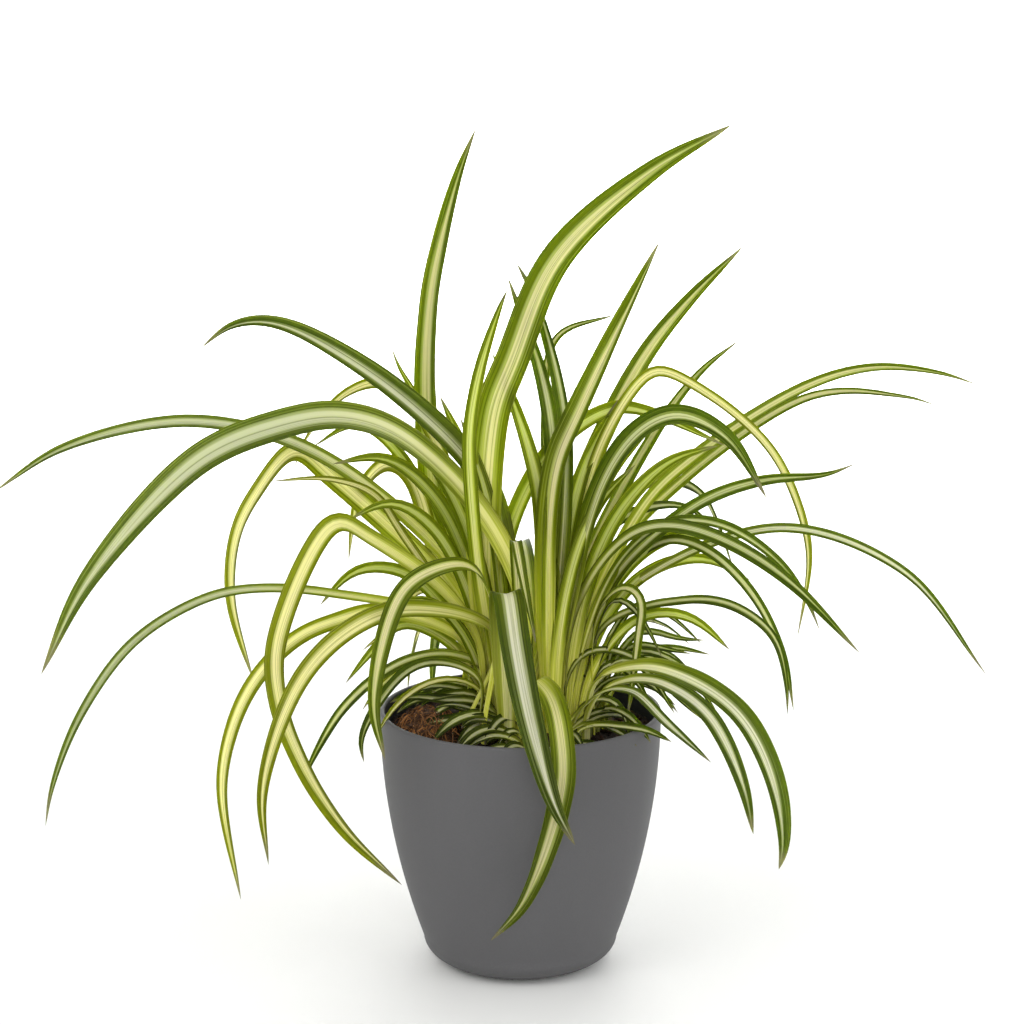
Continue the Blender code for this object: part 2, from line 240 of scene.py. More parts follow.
def makePot():
    corner = pot["cornerHeight"]
    wall = pot["wall"]
    lip = wall / 2
    profile = [(axis, 0), (pot["footRadius"] * 0.5, 0), (pot["footRadius"], 0)]
    for angle in np.radians(np.linspace(0, 90, 13)[1:]):
        reach = (pot["lowRadius"] - pot["footRadius"]) * math.sin(angle)
        profile.append((pot["footRadius"] + reach, corner * (1 - math.cos(angle))))
    for z in np.linspace(corner, pot["height"] - lip, 40)[1:]:
        profile.append((potRadius(z), z))
    middle = potRadius(pot["height"] - lip) - lip
    for angle in np.radians(np.linspace(0, 180, 11)[1:-1]):
        profile.append((middle + lip * math.cos(angle), pot["height"] - lip + lip * math.sin(angle)))
    for z in np.linspace(pot["height"] - lip, corner + pot["insideStart"], 30):
        profile.append((potRadius(z) - wall, z))
    for share, z in pot["insideFoot"]:
        profile.append(((pot["lowRadius"] - wall) * share, z))
    profile.append((axis, wall))
    verts, faces, uv = turned(profile, pot["sides"])
    addPiece("potShell", verts, faces, potSkin(), ["pot"], uv)


makePot()
print("pot done")

soil = {
    "top": 136 * mm, "bottom": 118 * mm, "gap": 0.5 * mm, "rings": 56, "sides": 190,
    "lump": 1.5 * mm, "grit": 0.8 * mm, "crumbs": 620, "crumbReach": 73 * mm,
    "crumbSizes": (0.7, 0.9, 1.1, 1.4, 1.9),
    "chips": 46, "chipReach": 70 * mm, "chipSize": (1.8, 3.0), "seed": 11,
    "dark": (0.008, 0.006, 0.005), "brown": (0.040, 0.023, 0.015), "red": (0.085, 0.036, 0.018),
}


def soilLift(x, y):
    place = Vector((x, y, 0.0))
    lump = noise.fractal(place * 130, 0.8, 2.2, 4)
    grit = noise.noise(place * 520)
    return soil["lump"] * lump + soil["grit"] * max(grit, 0)


def soilSkin():
    made, tree, shader = freshMaterial("pottingMix")
    place = objectPlace(tree)
    patch = grain(tree, place, 120, 4, 0.6)
    grit = grain(tree, place, 900, 4, 0.7)
    own = attribute(tree, "tone")
    mixed = blendColour(tree, ease(tree, grit, 0.42, 0.72), soil["dark"], soil["brown"])
    mixed = blendColour(tree, times(tree, ease(tree, patch, 0.5, 0.7), 0.5), mixed, soil["red"])
    mixed = blendColour(tree, times(tree, own, 0.7), mixed, soil["red"])
    tree.links.new(mixed, shader.inputs["Base Color"])
    setFinish(shader, rough=0.88, shine=0.25)
    bump(tree, shader, plus(tree, grit, times(tree, patch, 0.6)), 0.0009, 0.9)
    return made


def makeSoil(skin):
    edge = potRadius(soil["top"]) - pot["wall"] - soil["gap"]
    low = potRadius(soil["bottom"]) - pot["wall"] - soil["gap"]
    profile = [(axis, soil["bottom"]), (low * 0.5, soil["bottom"]), (low, soil["bottom"])]
    profile += [(edge * (1 - k / soil["rings"]) + axis, soil["top"]) for k in range(soil["rings"] + 1)]

    def lift(x, y, z):
        return soilLift(x, y) if z >= soil["top"] else 0

    verts, faces, uv = turned(profile, soil["sides"], lift)
    tones = [0.25 * (noise.noise(Vector(v) * 90) + 0.5) for v in verts]
    addPiece("soilBed", verts, faces, skin, ["soil"], uv, {"tone": tones})


def lumpMesh(rng, centre, size, flat, verts, faces, tones, tone):
    # one crumb: a squashed ball with uneven corners
    first = len(verts)
    spin = rng.uniform(0, 2 * math.pi)
    rings, sides = 4, 6
    for i in range(rings + 1):
        for j in range(sides):
            polar, turn = math.pi * i / rings, 2 * math.pi * j / sides + spin
            r = size * rng.uniform(0.7, 1.15)
            x, y = r * math.sin(polar) * math.cos(turn), r * math.sin(polar) * math.sin(turn)
            y *= rng.uniform(0.6, 1.1)
            verts.append((centre[0] + x, centre[1] + y, centre[2] + flat * r * math.cos(polar)))
            tones.append(tone)
    for i in range(rings):
        for j in range(sides):
            k = (j + 1) % sides
            a, b = first + i * sides, first + (i + 1) * sides
            faces.append((a + j, b + j, b + k, a + k))


def makeCrumbs(skin):
    rng = random.Random(soil["seed"])
    verts, faces, tones = [], [], []
    for _ in range(soil["crumbs"]):
        reach, turn = soil["crumbReach"] * math.sqrt(rng.random()), rng.uniform(0, 2 * math.pi)
        x, y = reach * math.cos(turn), reach * math.sin(turn)
        size = mm * rng.choice(soil["crumbSizes"])
        z = soil["top"] + soilLift(x, y) + size * 0.3
        lumpMesh(rng, (x, y, z), size, 0.7, verts, faces, tones, rng.random() ** 2)
    for _ in range(soil["chips"]):
        reach, turn = soil["chipReach"] * math.sqrt(rng.random()), rng.uniform(0, 2 * math.pi)
        x, y = reach * math.cos(turn), reach * math.sin(turn)
        z = soil["top"] + soilLift(x, y) + 0.8 * mm
        size = mm * rng.uniform(*soil["chipSize"])
        lumpMesh(rng, (x, y, z), size, 0.4, verts, faces, tones, rng.uniform(0.3, 1))
    addPiece("soilCrumbs", verts, faces, skin, (), None, {"tone": tones})


soilMaterial = soilSkin()
makeSoil(soilMaterial)
makeCrumbs(soilMaterial)
print("soil done")

coir = {
    "centre": (-52 * mm, -16 * mm), "half": (17 * mm, 22 * mm), "bottom": 136 * mm, "top": 149 * mm,
    "fibres": 1100, "length": (6 * mm, 17 * mm), "radius": (0.20 * mm, 0.42 * mm),
    "steps": 8, "edgeTurns": (0, 2.094, 4.189), "highest": 4 * mm, "limit": 74 * mm, "seed": 5,
    "dark": (0.016, 0.006, 0.004), "light": (0.56, 0.24, 0.070),
}


def coirSkin():
    made, tree, shader = freshMaterial("coconutFibre")
    place = objectPlace(tree)
    own = attribute(tree, "tone")
    patch = grain(tree, place, 260, 3, 0.6)
    share = calc(tree, "ADD", times(tree, own, 0.95), times(tree, patch, 0.12), clamp=True)
    tree.links.new(blendColour(tree, share, coir["dark"], coir["light"]), shader.inputs["Base Color"])
    setFinish(shader, rough=0.75)
    bump(tree, shader, grain(tree, place, 1800, 2, 0.6), 0.0002, 0.6)
    return made


def coirTop(x, y):
    u = (x - coir["centre"][0]) / coir["half"][0]
    v = (y - coir["centre"][1]) / coir["half"][1]
    dome = max(0.0, 1 - (u * u + v * v)) ** 0.6
    rough = 0.85 + 0.5 * noise.noise(Vector((x, y, 0)) * 110)
    return coir["bottom"] + (coir["top"] - coir["bottom"]) * dome * rough


def makeCoir():
    rng = random.Random(coir["seed"])
    verts, faces, tones = [], [], []
    # a rough heap under the fibres, the clump's packed body, in the darkest fibre colour as painted shade
    # deep among the fibres
    rings, sides = 14, 44
    for i in range(rings + 1):
        for j in range(sides):
            share, turn = i / rings, 2 * math.pi * j / sides
            x = coir["centre"][0] + coir["half"][0] * share * math.cos(turn)
            y = coir["centre"][1] + coir["half"][1] * share * math.sin(turn)
            grit = 0.6 * mm * noise.noise(Vector((x, y, 0)) * 700)
            verts.append((x, y, coirTop(x, y) - 1.0 * mm + grit))
            # tone 0 is the darkest fibre colour: painted shade among the fibres
            tones.append(0.0)
    for i in range(rings):
        for j in range(sides):
            k = (j + 1) % sides
            a, b = i * sides, (i + 1) * sides
            faces.append((a + j, b + j, b + k, a + k))
    for _ in range(coir["fibres"]):
        reach, turn = math.sqrt(rng.random()) * 0.95, rng.uniform(0, 2 * math.pi)
        x = coir["centre"][0] + coir["half"][0] * reach * math.cos(turn)
        y = coir["centre"][1] + coir["half"][1] * reach * math.sin(turn)
        heading, bend = rng.uniform(0, 2 * math.pi), rng.uniform(-2.2, 2.2)
        length, radius = rng.uniform(*coir["length"]), rng.uniform(*coir["radius"])
        lifted, tone = rng.uniform(0.2, 2.6) * mm, rng.random() ** 2.2
        loose = rng.random() < 0.55
        path = []
        for k in range(coir["steps"] + 1):
            s = k / coir["steps"]
            rise = lifted * (1 + (2.6 * math.sin(math.pi * s) if loose else 0.6 * s))
            floor = max(coirTop(x, y), soil["top"] + 0.5 * mm)
            path.append(np.array((x, y, min(floor + rise - 0.9 * mm, coir["top"] + coir["highest"]))))
            heading += bend / coir["steps"]
            x += length / coir["steps"] * math.cos(heading)
            y += length / coir["steps"] * math.sin(heading)
            if math.hypot(x, y) > coir["limit"]:
                break
        if len(path) < 4:
            continue
        first = len(verts)
        for k, p in enumerate(path):
            ahead = path[min(k + 1, len(path) - 1)] - path[max(k - 1, 0)]
            ahead /= np.linalg.norm(ahead) + 1e-9
            side = np.cross(ahead, up)
            side /= np.linalg.norm(side) + 1e-9
            over = np.cross(side, ahead)
            thin = radius * (1 - 0.6 * abs(2 * k / (len(path) - 1) - 1) ** 2)
            for turn in coir["edgeTurns"]:
                verts.append(p + thin * (side * math.cos(turn) + over * math.sin(turn)))
                tones.append(tone)
        for k in range(len(path) - 1):
            a, b = first + 3 * k, first + 3 * k + 3
            for j in range(3):
                faces.append((a + j, a + (j + 1) % 3, b + (j + 1) % 3, b + j))
    addPiece("coirTuft", verts, faces, coirSkin(), ["coir"], None, {"tone": tones})


makeCoir()
print("coir done")

leaf = {
    "start": 146 * mm, "thick": 0.42 * mm, "across": 11, "step": 3.6 * mm,
    "acrossSmall": 7, "stepSmall": 5 * mm,
    "rootWidth": 0.6, "widest": 0.34, "foldAt": (0, 0.3, 0.75, 1), "fold": (32, 15, 19, 26), "crease": 0.02,
    "ripple": 0.25 * mm, "tipHalf": 0.06 * mm, "buried": 9,
}

# Each leaf: root (x, y), heading in degrees (0 is +X, 90 is +Y), width, the share of its length
# where it starts to taper, how far its upper side leans to the front at even steps from root to
# tip, skin, then the points it passes as (reach, height[, side]). Lengths in mm, leans in degrees.
# These rows repeat the part's own. Most are numbers fitted by other programs and rounded, and not
# points chosen by hand.
leafPlan = {
    "tall_left": ((-12, 17), 129, 16.5, 0.3, (65, 75), "fresh",
        ((18, 35), (46, 77), (56, 99), (66, 157), (62, 228), (38, 297), (20, 329))),
    "tall_arch": ((2, 7), 28, 20.5, 0.35, (60, 70), "fresh",
        ((-21, 38), (-21, 171), (-8, 203), (19, 257), (80, 303), (134, 327))),
    "left_big": ((-11, -16), 197, 19.5, 0.45, (50, 50, 45, 55, 62), "paintedSheen",
        ((-11, 41), (-9, 76), (12, 120), (58, 167), (91, 179), (125, 176), (169, 160), (230, 99), (258, 48))),
    "left_far": ((-24, 8), 159, 8.5, 0.6, (60, 65), "paintedSheen",
        ((-1, 47), (14, 81), (97, 141), (176, 155), (263, 133), (313, 102))),
    "left_crest": ((-21, 4), 169, 14.5, 0.3, (60, 65), "white",
        ((-12, 55), (-10, 107), (2, 138), (47, 182), (105, 216), (128, 221), (146, 217), (163, 204))),
    "narrow_up": ((-17, -1), 72, 9.5, 0.4, (45, 45), "inner",
        ((-6, 45), (-25, 96), (-38, 166), (-23, 197), (14, 229), (32, 239))),
    "bent_left": ((-32, 16), 153, 13, 0.65, (55, 70), "gold",
        ((-4, 45), (12, 70), (88, 127), (109, 139), (139, 107), (152, 80), (155, 45), (142, -3))),
    "hang_left": ((-22, -15), 203, 12.5, 0.6, (45, 50), "gold",
        ((4, 48), (25, 79), (69, 113), (86, 122), (120, 60), (120, 26), (108, -10), (84, -52), (49, -91))),
    "left_low_long": ((-27, 0), 201, 6, 0.65, (50, 60), "paintedSheen",
        ((2, 40), (26, 62), (52, 70), (125, 84), (159, 80), (198, 59), (228, 20), (244, -18), (248, -38))),
    "left_fall_a": ((-32, -29), 220, 12, 0.3, (40, 50), "gold",
        ((-24, 48), (44, 75), (85, 67), (115, 44), (138, -8), (135, -51))),
    "left_fall_b": ((-32, -8), 201, 10.5, 0.3, (45, 50), "gold",
        ((-1, 42), (50, 66), (73, 63), (96, 56), (121, 35), (136, 6), (142, -27), (133, -92))),
    "front_hang_left": ((-22, -31), 222, 11.5, 0.5, (30, 40), "fresh",
        ((-10, 61), (8, 94), (50, 92), (64, 77), (77, 29), (70, -4))),
    "low_left_a": ((-32, -13), 197, 7, 0.5, (45, 50), "small",
        ((-12, 28), (11, 39), (38, 35), (68, 14), (89, -18), (94, -30))),
    "low_left_b": ((-24, -29), 209, 6.5, 0.5, (40, 50), "small",
        ((-1, 28), (30, 42), (49, 36), (73, 4), (71, -10))),
    "mid_left_a": ((-28, 3), 176, 7, 0.4, (60, 65), "inner",
        ((6, 34), (39, 51), (55, 36), (72, 15))),
    "back_left_a": ((-25, 19), 153, 10, 0.6, (60, 65), "gold",
        ((8, 49), (24, 80), (43, 130), (56, 136), (74, 119), (84, 75))),
    "back_left_b": ((-18, 15), 148, 8.5, 0.4, (60, 65), "gold",
        ((13, 85), (33, 146), (53, 173), (74, 181), (102, 169), (127, 141), (136, 122))),
    "back_left_c": ((-1, 14), 148, 8.5, 0.4, (60, 65), "inner",
        ((40, 70), (81, 139), (109, 153), (143, 136))),
    "thin_left": ((-25, 10), 174, 5.5, 0.4, (60, 65), "gold",
        ((12, 52), (44, 104), (58, 124), (83, 132), (117, 130))),
    "thin_up_left": ((-7, 13), 141, 7, 0.4, (60, 65), "inner",
        ((24, 83), (50, 144), (70, 176), (80, 187), (87, 200))),
    "back_left_drop": ((-20, 26), 123, 9.5, 0.6, (60, 65), "gold",
        ((17, 33), (44, 43), (67, 32), (82, 3), (87, -15))),
    "centre_arch": ((3, 9), 8, 10.5, 0.4, (60, 65), "inner",
        ((-12, 59), (-9, 105), (15, 151), (48, 173), (65, 172), (114, 150))),
    "upright_right": ((17, -10), 344, 15.5, 0.3, (70, 70), "fresh",
        ((-2, 104), (3, 148), (15, 177), (61, 274))),
    "up_back_a": ((10, 12), 142, 11, 0.35, (60, 65), "dark",
        ((-11, 65), (-10, 158), (-2, 194), (22, 247))),
    "up_back_b": ((18, 7), 118, 11, 0.35, (60, 65), "dark",
        ((-9, 67), (-15, 168), (9, 219), (27, 240), (44, 252))),
    "up_left_inner": ((3, 0), 163, 10.5, 0.4, (60, 65), "inner",
        ((-14, 56), (-11, 91), (-6, 136), (8, 181), (20, 207))),
    "thin_back_right": ((21, 22), 47, 5.5, 0.5, (60, 65), "fresh",
        ((-8, 121), (-11, 167), (-4, 211), (50, 220))),
    "right_up_a": ((24, 16), 40, 13, 0.35, (60, 65), "fresh",
        ((-7, 52), (8, 117), (57, 192), (95, 225), (139, 253))),
    "folded_right": ((27, 1), 15, 7, 0.7, (60, 65), "gold",
        ((-1, 66), (18, 152), (44, 192), (53, 195), (101, 165), (125, 137), (143, 87), (138, 35))),
    "right_up_thin": ((28, 10), 30, 8.5, 0.25, (60, 65), "fresh",
        ((3, 64), (53, 151), (86, 187), (114, 204))),
    "dark_broad": ((21, -10), 344, 16, 0.35, (60, 55, 50), "dark",
        ((3, 46), (27, 140), (49, 170), (69, 178), (95, 167), (118, 134))),
    "right_long_a": ((37, 5), 23, 7.5, 0.35, (60, 65), "fresh",
        ((-7, 31), (35, 116), (68, 143), (138, 178), (181, 186), (225, 180), (255, 170))),
    "right_long_b": ((34, 9), 39, 6.5, 0.3, (60, 65), "fresh",
        ((-2, 41), (17, 79), (52, 109), (175, 160), (259, 151), (291, 141))),
    "right_mid": ((29, -3), 345, 9, 0.35, (55, 65), "dark",
        ((9, 45), (29, 87), (73, 127), (106, 141), (144, 147), (159, 154))),
    "right_fall_a": ((25, -10), 330, 9, 0.45, (50, 55), "dark",
        ((6, 58), (25, 95), (47, 114), (72, 119), (108, 111), (141, 94), (180, 62))),
    "right_fall_b": ((27, -8), 335, 6.5, 0.5, (50, 55), "dark",
        ((19, 71), (37, 101), (61, 119), (93, 120), (125, 103), (142, 82), (149, 67))),
    "right_long_low": ((38, 7), 354, 6, 0.55, (60, 65), "white",
        ((1, 43), (30, 77), (108, 109), (177, 86), (225, 27))),
    "back_right_a": ((26, 19), 38, 7, 0.5, (60, 65), "small",
        ((7, 61), (25, 99), (43, 117), (70, 122), (101, 110), (129, 59))),
    "back_right_b": ((33, 15), 27, 7, 0.4, (60, 65), "small",
        ((1, 63), (14, 98), (40, 111), (69, 110), (90, 95))),
    "front_right": ((11, -13), 291, 15, 0.5, (0, 0), "fresh",
        ((28, 31, -15), (65, 31, -19), (81, 19, -21), (85, -11, -21), (70, -80, -37), (56, -106, -51))),
    "low_right_a": ((44, -8), 322, 6, 0.5, (50, 55), "small",
        ((1, 50), (69, 79), (98, 77), (118, 65), (126, 41), (127, 24))),
    "thin_right_drop": ((44, 2), 335, 6.5, 0.5, (50, 55), "small",
        ((1, 55), (19, 88), (43, 105), (66, 101), (91, 81), (111, 47), (118, 15))),
    "bent_small": ((42, -14), 318, 5.5, 0.6, (45, 45), "fresh",
        ((-2, 41), (3, 65), (21, 81), (33, 77), (31, 52), (24, 7))),
    "low_right_b": ((48, -2), 355, 6, 0.4, (60, 65), "small",
        ((-17, 32), (0, 37), (24, 31), (36, 18))),
    "low_right_c": ((50, 8), 14, 5, 0.4, (60, 65), "small",
        ((-11, 23), (7, 31), (37, 34), (61, 28))),
    "front_right_big": ((39, -22), 317, 13.5, 0.6, (20, 35), "white",
        ((5, 25), (37, 40), (65, 41), (101, 31), (120, 15), (135, -14), (139, -41), (136, -54))),
    "front_right_mid": ((37, -26), 307, 10, 0.6, (20, 35), "white",
        ((12, 21), (42, 36), (72, 39), (107, 29), (134, -3), (142, -26))),
    "front_right_small": ((30, -23), 302, 6.5, 0.4, (20, 35), "white",
        ((26, 24), (60, 33), (89, 24), (132, 12))),
    "front_big": ((-7, -32), 286, 18, 0.4, (0, 0), "white",
        ((6, 50, -3), (36, 88, -11), (61, 60, -13), (72, 22, -8), (78, -20, 3), (79, -44, 15))),
    "front_short": ((-1, -22), 278, 7, 0.5, (0, 0), "fresh",
        ((3, 62, 0), (29, 113, -6), (44, 106, -6), (58, 62, 1))),
    "back_mid": ((7, 17), 95, 11, 0.4, (0, 0), "dark",
        ((10, 40), (36, 70), (80, 78), (120, 50), (142, 8))),
    "back_far_right": ((14, 20), 72, 10, 0.4, (0, 0), "dark",
        ((12, 40), (44, 74), (92, 80), (132, 50), (150, 8))),
    "back_low_left": ((-16, 23), 110, 9, 0.4, (0, 0), "dark",
        ((14, 34), (46, 56), (80, 44), (104, 6), (110, -30))),
}

# what the skins share: the brighter colours that each turns to near its root, which are painted light glowing
# through the leaves in the crown, the young tissue, the dry tip
leafTones = {
    "green": (0.205, 0.250, 0.003), "between": (0.42, 0.46, 0.050), "stripe": (0.74, 0.72, 0.27),
    "deep": (0.095, 0.120, 0.001), "young": ((0.86, 0.86, 0.17), (0.52, 0.56, 0.03)),
    "dry": (0.16, 0.135, 0.095), "roughness": 0.42, "glow": (0.8, 1.0, 0.1), "glowDepth": 1.6 * mm,
}

# Each skin: the green of the margin and the deeper one of its edge, the tone between, the middle
# stripe and its half width, how strong the fine lines are, how pale the root is and how bright the
# stretch above it with painted light glowing through the crown, and how much it shines.
leafSkins = {
    "fresh": {"green": (0.072, 0.092, 0.002), "deep": (0.024, 0.033, 0.001), "between": (0.27, 0.30, 0.085),
              "stripe": (0.53, 0.495, 0.26), "wide": 0.31, "lines": 0.6, "pale": 0.8, "shine": 0.05},
    # a greyish cast over the leaf's own greens and stripe: painted sheen
    "paintedSheen": {"green": (0.058, 0.073, 0.008), "deep": (0.022, 0.030, 0.003), "between": (0.25, 0.275, 0.13),
              "stripe": (0.43, 0.44, 0.30), "wide": 0.36, "lines": 0.5, "pale": 0.8, "shine": 0.12},
    "dark": {"green": (0.046, 0.064, 0.003), "deep": (0.016, 0.025, 0.001), "between": (0.175, 0.205, 0.050),
             "stripe": (0.46, 0.48, 0.25), "wide": 0.25, "lines": 0.8, "pale": 0.5, "shine": 0.05},
    "gold": {"green": (0.165, 0.175, 0.005), "deep": (0.066, 0.072, 0.002), "between": (0.45, 0.44, 0.15),
             "stripe": (0.78, 0.73, 0.34), "wide": 0.38, "lines": 0.5, "pale": 0.7, "shine": 0.05},
    "white": {"green": (0.044, 0.058, 0.002), "deep": (0.018, 0.026, 0.001), "between": (0.23, 0.255, 0.11),
              "stripe": (0.56, 0.56, 0.41), "wide": 0.30, "lines": 0.5, "pale": 0.4, "shine": 0.08},
    "small": {"green": (0.044, 0.058, 0.003), "deep": (0.012, 0.019, 0.001), "between": (0.21, 0.235, 0.065),
              "stripe": (0.50, 0.51, 0.27), "wide": 0.26, "lines": 0.5, "pale": 0.3, "shine": 0.05},
    "inner": {"green": (0.130, 0.165, 0.003), "deep": (0.050, 0.068, 0.001), "between": (0.36, 0.41, 0.060),
              "stripe": (0.50, 0.55, 0.17), "wide": 0.30, "lines": 0.7, "pale": 0.8, "shine": 0.05},
}


def leafSkin(name, look):
    made, tree, shader = freshMaterial("leaf" + name.capitalize())
    across = attribute(tree, "across")
    along = attribute(tree, "along")
    tone = attribute(tree, "tone")
    # the stripe sits a little to one side, differently on each leaf
    offside = times(tree, calc(tree, "SUBTRACT", tone, 0.5), 0.34)
    away = calc(tree, "ABSOLUTE", across)
    middling = times(tree, offside, ease(tree, away, 1.0, 0.3))
    aside = calc(tree, "ABSOLUTE", plus(tree, across, middling))

    def streaks(fineness, run, detail=2.0):
        place = addNode(tree, "ShaderNodeCombineXYZ", {
            0: times(tree, across, fineness), 1: times(tree, along, run),
            2: times(tree, tone, 60.0)}).outputs[0]
        return grain(tree, place, 1.0, detail, 0.55)

    broad, fine, thin = streaks(2.0, 2.2), streaks(6.5, 1.6, 3.0), streaks(12.0, 1.6, 2.0)
    wander = times(tree, calc(tree, "SUBTRACT", broad, 0.5), 0.30)
    wander = plus(tree, wander, times(tree, calc(tree, "SUBTRACT", fine, 0.5), 0.26))
    # the stripe is broader low down and runs out towards the point
    spread = times(tree, ease(tree, along, 0.45, 0.0), -0.16)
    spread = plus(tree, spread, times(tree, ease(tree, along, 0.72, 0.98), 0.32))
    edge = plus(tree, plus(tree, aside, wander), spread)
    wide = look["wide"]
    # brighter and yellower towards the root: painted light glowing through the leaves in the crown
    paintedCrownGlow = times(tree, ease(tree, along, 0.62, 0.22), 1.1 * look["pale"])
    green, between, stripe, deep = [blendColour(tree, paintedCrownGlow, look[key], leafTones[key])
                                    for key in ("green", "between", "stripe", "deep")]
    # and darker again towards the point
    dull = times(tree, ease(tree, along, 0.45, 0.85), 0.65)
    green = blendColour(tree, dull, green, look["deep"])
    greenLine = times(tree, ease(tree, fine, 0.50, 0.64), look["lines"])
    middle = blendColour(tree, greenLine, stripe, between)
    colour = blendColour(tree, ease(tree, edge, wide - 0.05, wide + 0.03), middle, between)
    colour = blendColour(tree, ease(tree, edge, wide + 0.07, wide + 0.25), colour, green)
    colour = blendColour(tree, ease(tree, away, 0.66, 0.92), colour, deep)
    # fine lines along the margins, dark ones and pale ones
    outer = ease(tree, edge, wide + 0.02, wide + 0.2)
    darkLine = times(tree, times(tree, ease(tree, thin, 0.53, 0.62), outer), 0.9)
    colour = blendColour(tree, darkLine, colour, deep)
    paleLine = times(tree, times(tree, ease(tree, thin, 0.44, 0.30), outer), look["lines"])
    colour = blendColour(tree, times(tree, paleLine, 0.7), colour, between)
    vein = times(tree, ease(tree, thin, 0.55, 0.64), ease(tree, edge, wide + 0.05, wide - 0.1))
    colour = blendColour(tree, times(tree, vein, 0.62), colour, green)
    # midrib crease, and a thin painted highlight along the edge
    rib = ease(tree, away, 0.045, 0.012)
    colour = blendColour(tree, times(tree, rib, 0.30), colour, look["green"])
    edgeHighlight = ease(tree, away, 0.96, 0.99)
    colour = blendColour(tree, times(tree, edgeHighlight, 0.15), colour, look["between"])
    # pale young tissue at the root, dry grey-brown at the very tip
    root = ease(tree, along, 0.42, 0.08)
    young = blendColour(tree, ease(tree, fine, 0.40, 0.62), *leafTones["young"])
    colour = blendColour(tree, times(tree, root, look["pale"]), colour, young)
    dry = ease(tree, plus(tree, along, times(tree, wander, 0.10)), 0.935, 0.985)
    colour = blendColour(tree, times(tree, dry, 0.85), colour, leafTones["dry"])
    light = plus(tree, times(tree, tone, 0.34), 0.84)
    mottled = plus(tree, light, times(tree, calc(tree, "SUBTRACT", broad, 0.5), 0.26))
    tree.links.new(shaded(tree, colour, mottled), shader.inputs["Base Color"])
    rough = plus(tree, times(tree, fine, 0.16), leafTones["roughness"] - 0.08)
    tree.links.new(plus(tree, rough, times(tree, dry, 0.3)), shader.inputs["Roughness"])
    setFinish(shader, shine=look["shine"])
    setFinish(shader, glow=0.3, glowColour=leafTones["glow"], glowDepth=leafTones["glowDepth"])
    ribs = calc(tree, "SINE", times(tree, across, 40.0))
    height = plus(tree, times(tree, ribs, 0.25), times(tree, thin, 0.8))
    bump(tree, shader, height, 0.00010, 0.5)
    return made


def shareAcross(s, taper):
    # width share along the leaf: narrow root, even middle, long point
    swelling = np.sin(np.minimum(s / leaf["widest"], 1) * np.pi / 2) ** 1.4
    root = leaf["rootWidth"] + (1 - leaf["rootWidth"]) * swelling
    point = (1 - (np.maximum(s - taper, 0) / (1 - taper)) ** 3) ** 0.8
    return root * point


